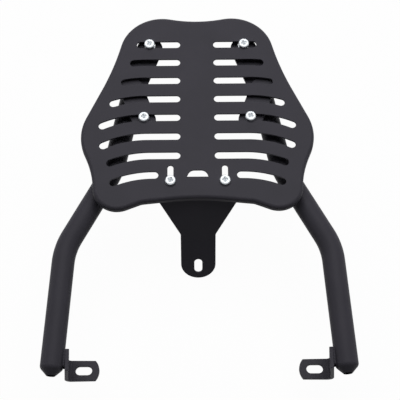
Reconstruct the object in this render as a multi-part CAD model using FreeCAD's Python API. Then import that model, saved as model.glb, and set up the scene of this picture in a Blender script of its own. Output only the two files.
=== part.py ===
import FreeCAD, Part
import math
import os

# Motorcycle top case bracket: a pressed and slotted steel plate carried on two bent tubes,
# with a folded bracket under its rear edge. The rider's side is +Y, up is +Z. The origin lies
# midway between the two foot slots, on the undersides of the foot tabs.

V = FreeCAD.Vector
UP = V(0, 0, 1)

# Where the plate sits, from the foot slots to its own zero point on its top face
deck_y = 273.5
deck_z = 80.0

# Pressed plate
sheet_t = 2.0
rim_depth = 8.0
rim_bend_r = 4.0

# Corners of the plate's outline, one side, before they are rounded
front_middle_y = 125.0
front_middle_r = 150.0
front_corner_x = 76.0
front_corner_y = 139.5
front_corner_r = 48.5
shoulder_x = 95.5
shoulder_y = 63.0
shoulder_r = 345.0
hip_x = 135.5
hip_y = -24.0
hip_r = 57.0
waist_x = 116.5
waist_y = -69.0
waist_r = 112.0
rear_corner_x = 113.0
rear_corner_y = -128.5
rear_corner_r = 27.0
rear_notch_x = 61.5
rear_notch_y = -108.0
rear_notch_r = 15.0
rear_middle_y = -101.5
rear_middle_r = 300.0

# Rows of slots, straight near the middle and drooping along an arc towards the sides
row_count = 8
first_row_y = 94.0
row_pitch = 24.2
slot_w = 8.5
slot_inner_x = 19.0
slot_end_margin = 18.5
slot_arc_r = 110.0
slot_arc_x = 60.0
arc_shift = 3.5
last_plain_row = 4

# Slots for the rear screws, and the half-moon opening between them
rear_slot_w = 6.5
rear_slot_front = 19.5
rear_slot_rib = 10.0
moon_w = 25.6
moon_top_w = 17.0
moon_front_y = -69.5
moon_rear_y = -79.2
moon_front_r = 7.5
moon_rear_r = 1.2

# Screws and what is on them
screw_d = 6.0
screw_length = 20.0
head_d = 12.0
head_h = 4.0
head_round_r = 2.4
recess_w = 1.5
recess_span = 6.4
recess_depth = 2.2
washer_d = 12.0
washer_t = 1.6
nut_flats = 10.0
nut_h = 5.0
hole_clearance = 0.6
nut_clearance = 0.1
front_spacer_d = 12.0
front_spacer_bore = 7.0
middle_spacer_d = 10.5
front_screw_x = 54.5
middle_screw_x = 60.0
middle_screw_row = 4
rear_screw_x = 30.0
rear_screw_y = -83.0

# Flat strips that carry the plate: they lap over the tube, hang below the plate on spacers
# and reach in to the screws
strip_t = 3.0
strip_gap = 3.0
front_strip_w = 30.0
middle_strip_w = 27.0
lap_x = 75.0
lap_y = 39.0
strip_slot_w = 9.0
strip_slot_length = 20.0

# Bent tubes, with the knee and the end set out from the foot slots
tube_d = 25.0
tube_wall = 2.0
tube_front_length = 14.0
outer_bend_x = 94.5
outer_bend_y = 216.5
outer_bend_r = 80.0
knee_out = 21.5
knee_y = 125.0
knee_z = 46.0
knee_r = 70.0
tube_end_out = 32.0
tube_end_y = -15.5
tube_end_z = 34.0
nose_hole_d = 9.4
nose_shoulder_r = 6.0
nose_slope = 45.0

# Foot tabs
foot_slot_spacing = 250.0
foot_slot_w = 10.0
foot_slot_length = 18.0
foot_tab_w = 24.0
foot_tab_t = 4.0
foot_tab_h = 42.0
foot_bend_r = 3.0
foot_lean = 5.5
foot_end_margin = 16.8
foot_end_r = 17.0
weld_gap = 0.1

# Folded centre bracket
bracket_t = 3.0
bracket_w = 86.0
bracket_bend_r = 4.0
flange_front_y = -76.5
flange_rear_y = -97.5
panel_slope = 68.0
panel_length = 71.0
tongue_slope = 60.0
tongue_length = 52.8
tongue_w = 39.4
taper_start = 12.0
taper_end = 61.0
tongue_slot_w = 9.0
tongue_slot_length = 19.4
tongue_slot_margin = 16.8

# Levels, from the plate down to the tubes
under_sheet_z = deck_z - sheet_t
strip_top_z = under_sheet_z - strip_gap
lap_z = strip_top_z - strip_t
under_strips_z = lap_z - strip_t
tube_r = tube_d / 2
tube_front_z = under_strips_z - tube_r
hole_d = screw_d + hole_clearance
first_y = deck_y + first_row_y


def row_y(row):
    """Y of the straight part of one row of slots, counted from the front."""
    return first_y - row * row_pitch


def rounded_wire(corners, radii, z=0.0):
    """Closed outline through the corners, each turned into a tangent arc of its radius.

    Where two arcs don't fit on the side between them, both are made smaller.
    """
    points = [V(x, y, z) for x, y in corners]
    count = len(points)
    legs = []
    for i, point in enumerate(points):
        back = (points[i - 1] - point).normalize()
        ahead = (points[(i + 1) % count] - point).normalize()
        legs.append((back, ahead, math.tan(back.getAngle(ahead) / 2)))
    reach = [radius / leg[2] for radius, leg in zip(radii, legs)]
    fitted = list(reach)
    for i in range(count):
        side = points[i].distanceToPoint(points[(i + 1) % count])
        both = reach[i] + reach[(i + 1) % count]
        if both > side:
            fitted[i] = min(fitted[i], reach[i] * side / both)
            fitted[(i + 1) % count] = min(fitted[(i + 1) % count], reach[(i + 1) % count] * side / both)
    edges = []
    last_end = points[-1] + legs[-1][1] * fitted[-1]
    for point, (back, ahead, slope), length in zip(points, legs, fitted):
        start = point + back * length
        if start.distanceToPoint(last_end) > 1e-6:
            edges.append(Part.LineSegment(last_end, start).toShape())
        last_end = point + ahead * length
        if length > 0:
            radius = length * slope
            middle = (back + ahead).normalize()
            depth = math.hypot(length, radius) - radius
            edges.append(Part.Arc(start, point + middle * depth, last_end).toShape())
    return Part.Wire(edges)


def prism(wire, top_z, height):
    """Solid below top_z with the given outline."""
    face = Part.Face(wire)
    face.translate(V(0, 0, top_z - face.BoundBox.ZMin))
    return face.extrude(UP * -height)


def cylinder(x, y, bottom_z, radius, height):
    """Upright round solid."""
    return Part.makeCylinder(radius, height, V(x, y, bottom_z))


def oblong(centre, along, length, width, depth, normal):
    """Round-ended cutter, centred on a point, as deep on both sides of it as depth."""
    side = normal.cross(along).normalize() * (width / 2)
    end = V(along) * (length / 2 - width / 2)
    tip = V(along) * (length / 2)
    start = centre - normal * depth
    edges = [
        Part.LineSegment(start - end + side, start + end + side).toShape(),
        Part.Arc(start + end + side, start + tip, start + end - side).toShape(),
        Part.LineSegment(start + end - side, start - end - side).toShape(),
        Part.Arc(start - end - side, start - tip, start - end + side).toShape(),
    ]
    return Part.Face(Part.Wire(edges)).extrude(normal * (2 * depth))


def mirrored(shape):
    """The same piece for the left side."""
    return shape.mirror(V(0, 0, 0), V(1, 0, 0))


def bent_profile(points, thickness, bend_r):
    """Section of a bent strip: the points run along its outer face, the inside of the
    strip lies to the left of them, and bend_r is the radius inside each bend."""
    ways = [(b - a).normalize() for a, b in zip(points, points[1:])]
    lefts = [V(-way.y, way.x, 0) for way in ways]
    inner = [points[0] + lefts[0] * thickness]
    turns = []
    for i in range(1, len(points) - 1):
        half = lefts[i - 1] + lefts[i]
        inner.append(points[i] + half * (2 * thickness / half.dot(half)))
        turns.append(ways[i - 1].cross(ways[i]).z)
    inner.append(points[-1] + lefts[-1] * thickness)
    outer_r = [bend_r + thickness if turn > 0 else bend_r for turn in turns]
    inner_r = [bend_r if turn > 0 else bend_r + thickness for turn in turns]
    corners = [(p.x, p.y) for p in points + inner[::-1]]
    return rounded_wire(corners, [0, *outer_r, 0, 0, *inner_r[::-1], 0])


def plate_outline():
    """Outline of the plate, the same on both sides."""
    side = [
        (front_corner_x, front_corner_y, front_corner_r),
        (shoulder_x, shoulder_y, shoulder_r),
        (hip_x, hip_y, hip_r),
        (waist_x, waist_y, waist_r),
        (rear_corner_x, rear_corner_y, rear_corner_r),
        (rear_notch_x, rear_notch_y, rear_notch_r),
    ]
    middle_front = (0.0, front_middle_y, front_middle_r)
    middle_rear = (0.0, rear_middle_y, rear_middle_r)
    left = [(-x, y, r) for x, y, r in reversed(side)]
    ring = [middle_front, *side, middle_rear, *left]
    return rounded_wire([(x, deck_y + y) for x, y, r in ring], [r for x, y, r in ring])


def half_width(outline, y):
    """How far the outline reaches from the middle at one Y."""
    line = Part.makeLine(V(0, y, 0), V(2 * hip_x, y, 0))
    return line.distToShape(outline)[1][0][1].x


def slot_start(row):
    """X of a row's inner end, further out in the last row to clear the rear screw slots."""
    if row == row_count - 1:
        return rear_screw_x + rear_slot_w / 2 + rear_slot_rib
    return slot_inner_x


def row_slot(outline, row):
    """Cutter for the right-hand slot of one row."""
    y = row_y(row)
    arc_x = slot_arc_x - arc_shift * max(0, row - last_plain_row)
    inner_x = slot_start(row)
    half = slot_w / 2
    centre = V(arc_x, y - slot_arc_r, 0)

    def drop(x):
        run = max(0.0, x - arc_x)
        return slot_arc_r - math.sqrt(slot_arc_r**2 - run**2)

    first_end = half_width(outline, y) - slot_end_margin
    end_x = half_width(outline, y - drop(first_end)) - slot_end_margin - half
    turn = math.asin((end_x - arc_x) / slot_arc_r)

    def on_arc(radius, angle):
        return centre + V(math.sin(angle), math.cos(angle), 0) * radius

    outer, inner = slot_arc_r + half, slot_arc_r - half
    tip = on_arc(slot_arc_r, turn) + V(math.cos(turn), -math.sin(turn), 0) * half
    edges = [
        Part.LineSegment(V(inner_x + half, y + half, 0), V(arc_x, y + half, 0)),
        Part.Arc(V(arc_x, y + half, 0), on_arc(outer, turn / 2), on_arc(outer, turn)),
        Part.Arc(on_arc(outer, turn), tip, on_arc(inner, turn)),
        Part.Arc(on_arc(inner, turn), on_arc(inner, turn / 2), V(arc_x, y - half, 0)),
        Part.LineSegment(V(arc_x, y - half, 0), V(inner_x + half, y - half, 0)),
        Part.Arc(V(inner_x + half, y - half, 0), V(inner_x, y, 0), V(inner_x + half, y + half, 0)),
    ]
    wire = Part.Wire([edge.toShape() for edge in edges])
    return prism(wire, deck_z + sheet_t, 3 * sheet_t)


def rear_slot():
    """Cutter for the right-hand lengthwise slot, which ends at its screw."""
    length = rear_slot_front + rear_slot_w / 2
    centre = V(rear_screw_x, deck_y + rear_screw_y + (rear_slot_front - rear_slot_w / 2) / 2, deck_z)
    return oblong(centre, V(0, 1, 0), length, rear_slot_w, 2 * sheet_t, UP)


def moon_slot():
    """Cutter for the half-moon opening, flat at the rear."""
    corners = [
        (-moon_w / 2, deck_y + moon_rear_y),
        (moon_w / 2, deck_y + moon_rear_y),
        (moon_top_w / 2, deck_y + moon_front_y),
        (-moon_top_w / 2, deck_y + moon_front_y),
    ]
    wire = rounded_wire(corners, [moon_rear_r, moon_rear_r, moon_front_r, moon_front_r])
    return prism(wire, deck_z + sheet_t, 3 * sheet_t)


def pressed_shell(outline, bend_r, top_z, height):
    """Solid of the outline with its upper edge rounded over."""
    block = prism(outline, top_z, height)
    rounded = [edge for edge in block.Edges if edge.BoundBox.ZMin > top_z - height / 2]
    return block.makeFillet(bend_r, rounded)


def top_plate():
    """Pressed plate with its turned-down rim and its slots."""
    outline = plate_outline()
    hollow = outline.makeOffset2D(-sheet_t)
    shell = pressed_shell(outline, rim_bend_r, deck_z, rim_depth)
    inside = pressed_shell(hollow, rim_bend_r - sheet_t, under_sheet_z, rim_depth)
    right = [row_slot(outline, row) for row in range(row_count)] + [rear_slot()]
    left = [mirrored(cutter) for cutter in right]
    return shell.cut([inside, *right, *left, moon_slot()])


def screw_places():
    """Right-hand screws as x, y and the level under the strip or flange that each one holds."""
    flange_z = under_sheet_z - bracket_t
    return [
        (front_screw_x, row_y(0), under_strips_z),
        (middle_screw_x, row_y(middle_screw_row), lap_z),
        (rear_screw_x, deck_y + rear_screw_y, flange_z),
    ]


def on_both_sides(shapes):
    """Compound of right-hand pieces and their mirror images."""
    return Part.makeCompound(shapes + [mirrored(shape) for shape in shapes])


def pan_head_screw(x, y):
    """Machine screw with a domed head and a cross recess, seated on the plate."""
    head_r = head_d / 2
    hub = V(head_r - head_round_r, 0, head_h - head_round_r)
    side = hub + V(head_round_r, 0, 0)
    crown = hub + UP * head_round_r
    bulge = hub + V(math.sqrt(0.5), 0, math.sqrt(0.5)) * head_round_r
    shank_r = screw_d / 2
    edges = [
        Part.LineSegment(V(0, 0, -screw_length), V(shank_r, 0, -screw_length)),
        Part.LineSegment(V(shank_r, 0, -screw_length), V(shank_r, 0, 0)),
        Part.LineSegment(V(shank_r, 0, 0), V(head_r, 0, 0)),
        Part.LineSegment(V(head_r, 0, 0), side),
        Part.Arc(side, bulge, crown),
        Part.LineSegment(crown, V(0, 0, head_h)),
        Part.LineSegment(V(0, 0, head_h), V(0, 0, -screw_length)),
    ]
    section = Part.Face(Part.Wire([edge.toShape() for edge in edges]))
    screw = section.revolve(V(0, 0, 0), UP, 360)
    low_corner = V(-recess_span / 2, -recess_w / 2, head_h - recess_depth)
    bar = Part.makeBox(recess_span, recess_w, head_h, low_corner)
    cross_bar = bar.copy()
    cross_bar.rotate(V(0, 0, 0), UP, 90)
    screw = screw.cut([bar, cross_bar])
    screw.translate(V(x, y, deck_z))
    return screw


def ring(x, y, top_z, outer_d, bore, height):
    """Washer or spacer below top_z."""
    low = top_z - height
    return cylinder(x, y, low, outer_d / 2, height).cut(cylinder(x, y, low, bore / 2, height))


def hex_nut(x, y, top_z):
    """Plain hexagon nut below top_z."""
    corner_r = nut_flats / math.sqrt(3)
    angles = [math.radians(60 * i) for i in range(6)]
    corners = [V(x + corner_r * math.cos(a), y + corner_r * math.sin(a), 0) for a in angles]
    block = prism(Part.makePolygon(corners + corners[:1]), top_z, nut_h)
    bore = screw_d / 2 + nut_clearance
    return block.cut(cylinder(x, y, top_z - nut_h, bore, nut_h))


def front_spacer():
    """Sleeve between the plate and the front strip, pushed against the screw from inside."""
    shift = (front_spacer_bore - screw_d) / 2 - nut_clearance
    height = under_sheet_z - lap_z
    return ring(front_screw_x - shift, row_y(0), under_sheet_z, front_spacer_d, front_spacer_bore, height)


def middle_spacer():
    """Sleeve between the plate and the middle strip."""
    return ring(middle_screw_x, row_y(middle_screw_row), under_sheet_z, middle_spacer_d, hole_d, strip_gap)


def strip_blank(screw, top_z, width):
    """Round-ended strip from the lap over the tube to a screw, with its direction."""
    lap = V(lap_x, deck_y + lap_y, top_z - strip_t / 2)
    end = V(screw[0], screw[1], lap.z)
    run = end - lap
    along = V(run).normalize()
    return oblong((lap + end) * 0.5, along, run.Length + width, width, strip_t / 2, UP), along


def front_strip():
    """Lower strip, with an oblong hole for the front screw."""
    place = screw_places()[0]
    blank, along = strip_blank(place, lap_z, front_strip_w)
    centre = V(place[0], place[1], lap_z)
    return blank.cut(oblong(centre, along, strip_slot_length, strip_slot_w, 2 * strip_t, UP))


def middle_strip():
    """Upper strip, laid over the front strip and reaching back to the middle screw."""
    place = screw_places()[1]
    blank, along = strip_blank(place, strip_top_z, middle_strip_w)
    return blank.cut(cylinder(place[0], place[1], lap_z - strip_t, hole_d / 2, 3 * strip_t))


def tube_corners():
    """Axis of the right tube from its front end to its nosed end, before the bends."""
    outer_bend = V(outer_bend_x, outer_bend_y, tube_front_z)
    over = V(lap_x, deck_y + lap_y, tube_front_z)
    front = over + (over - outer_bend).normalize() * tube_front_length
    knee = V(foot_slot_spacing / 2 + knee_out, knee_y, knee_z)
    end = V(foot_slot_spacing / 2 + tube_end_out, tube_end_y, tube_end_z)
    return [front, outer_bend, knee, end]


def tube_path(corners):
    """Straight runs joined by tangent arcs at the two bends."""
    edges = []
    last = corners[0]
    for i, radius in enumerate((outer_bend_r, knee_r), 1):
        back = (corners[i - 1] - corners[i]).normalize()
        ahead = (corners[i + 1] - corners[i]).normalize()
        half = back.getAngle(ahead) / 2
        length = radius / math.tan(half)
        start = corners[i] + back * length
        end = corners[i] + ahead * length
        depth = radius / math.sin(half) - radius
        edges.append(Part.LineSegment(last, start).toShape())
        edges.append(Part.Arc(start, corners[i] + (back + ahead).normalize() * depth, end).toShape())
        last = end
    edges.append(Part.LineSegment(last, corners[-1]).toShape())
    return Part.Wire(edges)


def swept_round(path, start, way, radius):
    """Solid round bar along the path."""
    profile = Part.Wire(Part.makeCircle(radius, start, way))
    return path.makePipeShell([profile], True, False)


def nose_side(shoulder_r):
    """One face of the nose's wall as radius and height along the tube: the start of its shoulder,
    the shoulder's middle and end, and the place where its cone meets the hole."""
    slope = math.radians(nose_slope)
    hub = tube_r - nose_shoulder_r

    def on_shoulder(angle):
        return V(hub + shoulder_r * math.cos(angle), 0, shoulder_r * math.sin(angle))

    cone = on_shoulder(slope)
    hole_r = nose_hole_d / 2
    rim = V(hole_r, 0, cone.z + (cone.x - hole_r) / math.tan(slope))
    return on_shoulder(0), on_shoulder(slope / 2), cone, rim


def tube_nose(centre, way):
    """Tapered end of the tube, with a round hole left in the middle."""
    start, bulge, cone, rim = nose_side(nose_shoulder_r)
    bore_start, bore_bulge, bore_cone, bore_rim = nose_side(nose_shoulder_r - tube_wall)
    edges = [
        Part.Arc(start, bulge, cone),
        Part.LineSegment(cone, rim),
        Part.LineSegment(rim, bore_rim),
        Part.LineSegment(bore_rim, bore_cone),
        Part.Arc(bore_cone, bore_bulge, bore_start),
        Part.LineSegment(bore_start, start),
    ]
    section = Part.Face(Part.Wire([edge.toShape() for edge in edges]))
    nose = section.revolve(V(0, 0, 0), UP, 360)
    nose.Placement = FreeCAD.Placement(centre, FreeCAD.Rotation(UP, way))
    return nose


def bent_tube():
    """Right tube, open at the front and tapered to a nose at the foot."""
    corners = tube_corners()
    end_way = (corners[-1] - corners[-2]).normalize()
    corners[-1] = corners[-1] - end_way * nose_side(nose_shoulder_r)[-1].z
    path = tube_path(corners)
    first_way = corners[1] - corners[0]
    outer = swept_round(path, corners[0], first_way, tube_r)
    bore = swept_round(path, corners[0], first_way, tube_r - tube_wall)
    return outer.cut(bore).fuse(tube_nose(corners[-1], end_way)).removeSplitter()


def foot_fold_x():
    """X of the fold under the tab's upright side, which leans in to meet the tube at its front edge."""
    knee, end = tube_corners()[2:]
    axis = end + (knee - end) * ((foot_tab_w / 2 - end.y) / (knee.y - end.y))
    splay = math.atan2(end.x - knee.x, knee.y - end.y)
    lean = math.radians(foot_lean)
    touch_x = axis.x - tube_r * math.cos(lean) / math.cos(splay) - weld_gap
    touch_z = axis.z - tube_r * math.sin(lean)
    return touch_x + touch_z * math.tan(lean)


def foot_tab():
    """Right foot: a strip welded to the tube, bent inwards under it, slotted and round at its free end."""
    fold_x = foot_fold_x()
    end_x = foot_slot_spacing / 2 - foot_end_margin
    top_x = fold_x - foot_tab_h * math.tan(math.radians(foot_lean))
    points = [V(end_x, 0, 0), V(fold_x, 0, 0), V(top_x, foot_tab_h, 0)]
    strip = Part.Face(bent_profile(points, foot_tab_t, foot_bend_r)).extrude(UP * foot_tab_w)
    strip.rotate(V(0, 0, 0), V(1, 0, 0), 90)
    strip.translate(V(0, foot_tab_w / 2, 0))
    waste = Part.makeBox(foot_end_r, foot_tab_w, foot_tab_t, V(end_x, -foot_tab_w / 2, 0))
    waste = waste.cut(cylinder(end_x + foot_end_r, 0, 0, foot_end_r, foot_tab_t))
    centre = V(foot_slot_spacing / 2, 0, 0)
    slot = oblong(centre, V(1, 0, 0), foot_slot_length, foot_slot_w, 2 * foot_tab_t, UP)
    return strip.cut([waste, slot])


def fold_way(slope):
    """Direction down a face of the centre bracket, in its side view."""
    angle = math.radians(slope)
    return V(-math.cos(angle), -math.sin(angle), 0)


def centre_bracket():
    """Sheet bracket: flange under the plate, tapering panel and round-ended tongue."""
    flange = V(deck_y + flange_front_y, under_sheet_z, 0)
    first_fold = V(deck_y + flange_rear_y, under_sheet_z, 0)
    second_fold = first_fold + fold_way(panel_slope) * panel_length
    tip = second_fold + fold_way(tongue_slope) * tongue_length
    section = bent_profile([flange, first_fold, second_fold, tip], bracket_t, bracket_bend_r)
    folded = Part.Face(section).extrude(UP * bracket_w)
    side_view = FreeCAD.Rotation(V(0, 1, 0), V(0, 0, 1), V(1, 0, 0), "ZXY")
    folded.Placement = FreeCAD.Placement(V(-bracket_w / 2, 0, 0), side_view)

    # The outline is drawn on the tongue and cut square to it
    down = V(0, fold_way(tongue_slope).x, fold_way(tongue_slope).y)
    square = V(1, 0, 0).cross(down)
    end = V(0, tip.x, tip.y)
    top = V(0, first_fold.x, first_fold.y)
    length = (end - top).dot(down)
    reach = bracket_w + length

    def at(x, distance):
        return end + V(x, 0, 0) - down * (length - distance) - square * reach

    half, tongue_half = bracket_w / 2, tongue_w / 2
    right = [at(half, -reach), at(half, taper_start), at(tongue_half, taper_end)]
    right.append(at(tongue_half, length - tongue_half))
    left = [V(-point.x, point.y, point.z) for point in reversed(right)]
    lines = [Part.LineSegment(a, b).toShape() for a, b in zip(right, right[1:])]
    lines.append(Part.Arc(right[-1], at(0, length), left[0]).toShape())
    lines += [Part.LineSegment(a, b).toShape() for a, b in zip(left, left[1:])]
    lines.append(Part.LineSegment(left[-1], right[0]).toShape())
    outline = Part.Face(Part.Wire(lines)).extrude(square * (2 * reach))

    slot_centre = end - down * tongue_slot_margin
    slot = oblong(slot_centre, down, tongue_slot_length, tongue_slot_w, 3 * bracket_t, square)
    flange_z = under_sheet_z - bracket_t
    hole = cylinder(rear_screw_x, deck_y + rear_screw_y, flange_z - bracket_t, hole_d / 2, 3 * bracket_t)
    return folded.common(outline).cut([slot, hole, mirrored(hole)])


def main():
    """Build every piece and write one file for each."""
    places = screw_places()
    pieces = {
        "top_plate": top_plate(),
        "centre_bracket": centre_bracket(),
        "plate_screws": on_both_sides([pan_head_screw(x, y) for x, y, z in places]),
        "plate_washers": on_both_sides([ring(x, y, z, washer_d, hole_d, washer_t) for x, y, z in places]),
        "plate_nuts": on_both_sides([hex_nut(x, y, z - washer_t) for x, y, z in places]),
        "front_spacers": on_both_sides([front_spacer()]),
        "middle_spacers": on_both_sides([middle_spacer()]),
    }
    paired = {
        "tube": bent_tube(),
        "front_strip": front_strip(),
        "middle_strip": middle_strip(),
        "foot_tab": foot_tab(),
    }
    for name, shape in paired.items():
        pieces["right_" + name] = shape
        pieces["left_" + name] = mirrored(shape)
    os.makedirs("parts", exist_ok=True)
    for name, shape in pieces.items():
        shape.exportStep("parts/" + name + ".step")
        print(name, len(shape.Solids), "solid", round(shape.Volume), "cubic mm")


main()
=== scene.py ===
"""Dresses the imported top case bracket: a slotted black luggage plate on two bent tubes.

Sizes are in millimetres in the part's own frame, with +Z up and +Y towards the rider, and they
become metres only where a mesh is made. The origin lies midway between the foot slots.
"""

from __future__ import annotations

import logging
import math
from collections.abc import Callable, Sequence
from dataclasses import dataclass, field
from enum import Enum

import bmesh
import bpy
from bmesh.types import BMVert
from bpy.types import ID, Material, Mesh, Node, NodeSocket, NodeTree, Object
from mathutils import Matrix, Vector
from mathutils.geometry import tessellate_polygon

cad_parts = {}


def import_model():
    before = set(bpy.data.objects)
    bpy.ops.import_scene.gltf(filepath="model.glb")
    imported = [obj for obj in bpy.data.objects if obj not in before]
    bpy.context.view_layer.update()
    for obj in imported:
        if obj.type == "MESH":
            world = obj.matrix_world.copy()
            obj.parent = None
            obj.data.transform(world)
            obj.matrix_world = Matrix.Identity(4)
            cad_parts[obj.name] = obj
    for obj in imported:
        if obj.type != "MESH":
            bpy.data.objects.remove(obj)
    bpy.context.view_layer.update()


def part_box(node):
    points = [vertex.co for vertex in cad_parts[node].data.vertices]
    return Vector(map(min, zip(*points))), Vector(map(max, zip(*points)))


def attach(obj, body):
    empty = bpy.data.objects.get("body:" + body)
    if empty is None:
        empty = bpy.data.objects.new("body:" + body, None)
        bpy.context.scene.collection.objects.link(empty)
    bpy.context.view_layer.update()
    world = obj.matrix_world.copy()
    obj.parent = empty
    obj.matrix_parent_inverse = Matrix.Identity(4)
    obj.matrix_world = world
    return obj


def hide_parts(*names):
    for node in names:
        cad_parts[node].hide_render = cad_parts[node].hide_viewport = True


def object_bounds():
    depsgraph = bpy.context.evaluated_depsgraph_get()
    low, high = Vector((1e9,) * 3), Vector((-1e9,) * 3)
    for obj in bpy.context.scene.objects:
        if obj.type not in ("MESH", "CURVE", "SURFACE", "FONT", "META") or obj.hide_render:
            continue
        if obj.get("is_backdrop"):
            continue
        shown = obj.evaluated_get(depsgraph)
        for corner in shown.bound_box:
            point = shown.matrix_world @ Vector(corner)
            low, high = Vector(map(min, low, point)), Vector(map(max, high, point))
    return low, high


LOG = logging.getLogger("top_case_bracket")
MM = 0.001
QUARTER = math.pi / 2
WHITE = (1.0, 1.0, 1.0, 1.0)
# Furthest that a sampled arc may lie inside the true one
ARC_ERROR = 0.012
# Points this close are one point
MERGE_DISTANCE = 1e-4
# How strongly large faces lead the shading, where 50 is neutral
FLAT_WEIGHT = 80
# The deck's own zero point, on its top face, and the thickness of its sheet
DECK = Vector((0.0, 273.5, 80.0))
DECK_SHEET = 2.0
# Places on the deck, on the right: its screws, and the strips' lap on the tube
FRONT_SCREW = (54.5, 94.0)
MIDDLE_SCREW = (60.0, -2.8)
REAR_SCREW = (30.0, -83.0)
STRIP_LAP = (75.0, 39.0)

Edge = list[tuple[float, float]]
Ring = list[BMVert]
# Gives the place and the way at a length along a stretch of a line
Run = Callable[[float], tuple[Vector, Vector]]


class Side(Enum):
    """The side of the bracket that a paired piece belongs to, as the sign of its X."""

    RIGHT = 1
    LEFT = -1

    @property
    def label(self) -> str:
        """The word that starts the names of this side's pieces."""
        return self.name.lower()

    def place(self, point: Vector) -> Vector:
        """Gives this side's place for a place on the right."""
        return Vector((point.x * self.value, point.y, point.z))


class Slot(Enum):
    """The material slots that the pieces are sorted into."""

    COATED = "coated_steel"
    PLATED = "zinc_plated_steel"


Finishes = dict[Slot, Material]


def linear(hex_colour: str) -> tuple[float, float, float, float]:
    """Turns an sRGB colour into the linear one that Blender's sockets take.

    Args:
        hex_colour: The colour as "#RRGGBB".

    Returns:
        Linear red, green and blue, with alpha 1.
    """
    channels = [int(hex_colour[i : i + 2], 16) / 255 for i in (1, 3, 5)]
    red, green, blue = (c / 12.92 if c <= 0.04045 else ((c + 0.055) / 1.055) ** 2.4 for c in channels)
    return red, green, blue, 1.0


def ray(angle: float) -> Vector:
    """Gives the unit vector in the plane at an angle."""
    return Vector((math.cos(angle), math.sin(angle)))


def stepped(start: float, turn: float, steps: int) -> list[float]:
    """Gives the angles that divide a turn into equal steps, both ends included."""
    return [start + turn * i / steps for i in range(steps + 1)]


def add_node(
    tree: NodeTree, kind: str, inputs: dict[str | int, object] | None = None, **settings: object
) -> Node:
    """Adds a node, sets its properties and fills its input sockets.

    Args:
        tree: The shader or geometry tree that gets the node.
        kind: Blender's name for the type of node.
        inputs: By socket name or index, a value to set or an output socket to link.
        settings: Property values by property name.

    Returns:
        The new node.
    """
    node = tree.nodes.new(kind)
    for name, value in settings.items():
        setattr(node, name, value)
    for key, value in (inputs or {}).items():
        if isinstance(value, NodeSocket):
            tree.links.new(value, node.inputs[key])
        else:
            node.inputs[key].default_value = value
    return node


def new_material(name: str) -> tuple[Material, NodeTree, Node]:
    """Starts a material with an empty tree.

    Args:
        name: The material's name.

    Returns:
        The material, its tree and the tree's output node.
    """
    material = bpy.data.materials.new(name)
    material.use_nodes = True
    tree = material.node_tree
    tree.nodes.clear()
    return material, tree, add_node(tree, "ShaderNodeOutputMaterial")


@dataclass(frozen=True)
class Grain:
    """A noise pattern that is fixed to the object, with the size of its cells in mm."""

    cell_mm: float
    detail: float
    roughness: float = 0.5
    # Below 1 the cells are long: this is the squeeze of X, with its turn about Z
    squeeze: float = 1.0
    turn: float = 0.0


@dataclass(frozen=True)
class Finish:
    """A finish on steel: two close shades in patches, an uneven gloss and a fine relief."""

    name: str
    shades: tuple[str, str]
    patches: Grain
    haze: Grain
    roughness: tuple[float, float]
    relief: Grain
    relief_mm: float
    relief_strength: float
    metal_share: float = 0.0
    sheen_level: float = 0.5
    # Polyester's own, and the one that a metal is left at
    ior: float = 1.5

    def patterns(self, tree: NodeTree) -> list[NodeSocket]:
        """Adds the finish's noise patterns to its material.

        Args:
            tree: The material's tree.

        Returns:
            The patches, the haze and the relief, each from 0 to 1.
        """
        place = add_node(tree, "ShaderNodeTexCoord").outputs["Object"]
        patterns = []
        for grain in (self.patches, self.haze, self.relief):
            lie = {"Scale": (grain.squeeze, 1.0, 1.0), "Rotation": (0.0, 0.0, grain.turn)}
            turned = add_node(tree, "ShaderNodeMapping", {"Vector": place, **lie}).outputs["Vector"]
            size = {"Scale": 1 / (grain.cell_mm * MM), "Detail": grain.detail, "Roughness": grain.roughness}
            noise = add_node(tree, "ShaderNodeTexNoise", {"Vector": turned, **size})
            patterns.append(noise.outputs["Fac"])
        return patterns

    def build(self) -> Material:
        """Makes the finish as a material.

        Returns:
            The material.
        """
        material, tree, output = new_material(self.name)
        patches, haze, relief = self.patterns(tree)
        first, second = (linear(shade) for shade in self.shades)
        low, high = self.roughness
        depth = {"Strength": self.relief_strength, "Distance": self.relief_mm * MM}
        shade = add_node(
            tree, "ShaderNodeMix", {"Factor": patches, "A": first, "B": second}, data_type="RGBA"
        )
        gloss = add_node(tree, "ShaderNodeMapRange", {"Value": haze, "To Min": low, "To Max": high})
        bump = add_node(tree, "ShaderNodeBump", {"Height": relief, **depth})
        shader = add_node(
            tree,
            "ShaderNodeBsdfPrincipled",
            {
                "Base Color": shade.outputs["Result"],
                "Metallic": self.metal_share,
                "Roughness": gloss.outputs["Result"],
                "Normal": bump.outputs["Normal"],
                "IOR": self.ior,
                "Specular IOR Level": self.sheen_level,
            },
        )
        tree.links.new(shader.outputs["BSDF"], output.inputs["Surface"])
        return material


# Polyester powder coat, baked onto the steel. To the eye it is a soft, slightly blue black with a
# broad sheen, faint clouds of shade and the shallow dimples of a coat that flowed while it was hot.
# The real dimples are about 1.5 mm across and the grit in its gloss is under 0.1 mm. Both are drawn
# coarser so that they show.
POWDER_COAT = Finish(
    name="satin_black_powder_coat",
    shades=("#3C3B41", "#45434B"),
    patches=Grain(45.0, 3.0, 0.6),
    haze=Grain(0.7, 2.0),
    roughness=(0.42, 0.52),
    relief=Grain(3.2, 1.0),
    relief_mm=0.035,
    relief_strength=0.5,
    sheen_level=0.08,
)

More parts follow.
